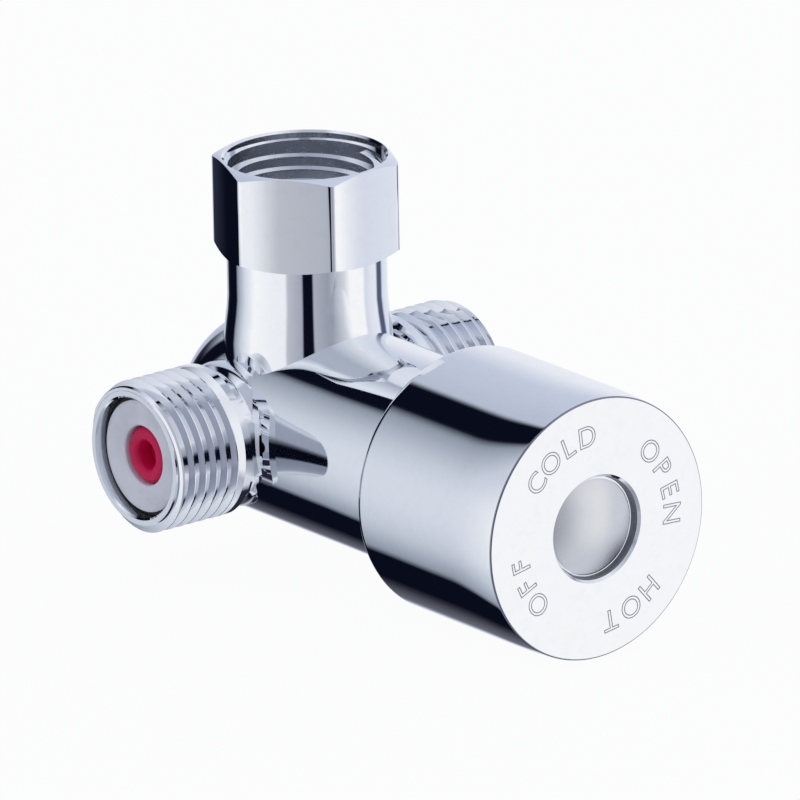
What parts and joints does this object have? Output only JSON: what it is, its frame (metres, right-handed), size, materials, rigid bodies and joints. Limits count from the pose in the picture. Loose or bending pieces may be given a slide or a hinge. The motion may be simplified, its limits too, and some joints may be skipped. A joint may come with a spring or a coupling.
{
  "type": "thermostatic mixing valve",
  "caption": "Chromed in-line valve that blends hot and cold water: domed barrel, round control knob, opposed male inlets with check valves and a hexagonal threaded outlet.",
  "frame": {"origin": "on the outlet's axis, at the top end of its female thread, 1.2 mm inside the mouth", "axes": "+Z out of the outlet, -Y towards the knob's face, +X out of the cold inlet, -X out of the hot inlet"},
  "size_m": [0.056, 0.0817, 0.0558],
  "materials": {
    "polished_chrome": "mirror polished chrome plate on cast brass",
    "satin_chrome": "satin",
    "brass": "machined",
    "black_plastic": "moulded acetal",
    "white_plastic": "moulded acetal",
    "red_plastic": "moulded acetal, magenta red",
    "blue_plastic": "moulded acetal, blue",
    "black_rubber": "moulded",
    "spring_steel": "stainless"
  },
  "bodies": {
    "body": {"valve_body": "polished_chrome", "bonnet": "brass", "bonnet_gasket": "black_rubber", "thrust_washer": "white_plastic", "cartridge_liner": "black_plastic", "cartridge_end_cap": "black_plastic", "cartridge_o_rings": "black_rubber", "return_spring": "spring_steel", "hot_check_housing": "white_plastic", "hot_check_seal": "black_rubber", "hot_check_spring": "spring_steel", "hot_check_guide": "white_plastic", "cold_check_housing": "white_plastic", "cold_check_seal": "black_rubber", "cold_check_spring": "spring_steel", "cold_check_guide": "white_plastic"},
    "knob": {"knob": "polished_chrome", "knob_screw": "spring_steel", "knob_cap": "satin_chrome", "spindle": "brass", "spindle_clip": "spring_steel", "spindle_o_rings": "black_rubber"},
    "adjuster": {"adjuster_nut": "brass", "overtravel_spring": "spring_steel", "overtravel_cap": "brass", "overtravel_clip": "spring_steel", "wax_piston": "spring_steel"},
    "shuttle": {"shuttle": "black_plastic", "wax_capsule": "brass"},
    "hot_poppet": {"hot_check_poppet": "red_plastic"},
    "cold_poppet": {"cold_check_poppet": "blue_plastic"}
  },
  "joints": [
    {"name": "knob_turn", "type": "hinge", "parent": "body", "child": "knob", "pos_m": [0, -0.048, -0.0362], "axis": [0, -1, 0], "range_deg": [-135, 135]},
    {"name": "adjuster_travel", "type": "slide", "parent": "body", "child": "adjuster", "axis": [0, 1, 0], "range_m": [-0.00075, 0.00075], "deforming": ["return_spring"]},
    {"name": "wax_stroke", "type": "slide", "parent": "adjuster", "child": "shuttle", "axis": [0, 1, 0], "range_m": [-0.0006, 0.0006], "stiffness_N_per_m": 800, "deforming": ["return_spring"]},
    {"name": "hot_poppet_travel", "type": "slide", "parent": "body", "child": "hot_poppet", "axis": [1, 0, 0], "range_m": [0, 0.0023], "stiffness_N_per_m": 25, "springref_m": -0.004, "deforming": ["hot_check_spring"]},
    {"name": "cold_poppet_travel", "type": "slide", "parent": "body", "child": "cold_poppet", "axis": [-1, 0, 0], "range_m": [0, 0.0023], "stiffness_N_per_m": 25, "springref_m": -0.004, "deforming": ["cold_check_spring"]}
  ],
  "couplings": [
    {"joint": "adjuster_travel", "follows": "knob_turn", "m_per_rad": 0.00031831}
  ]
}
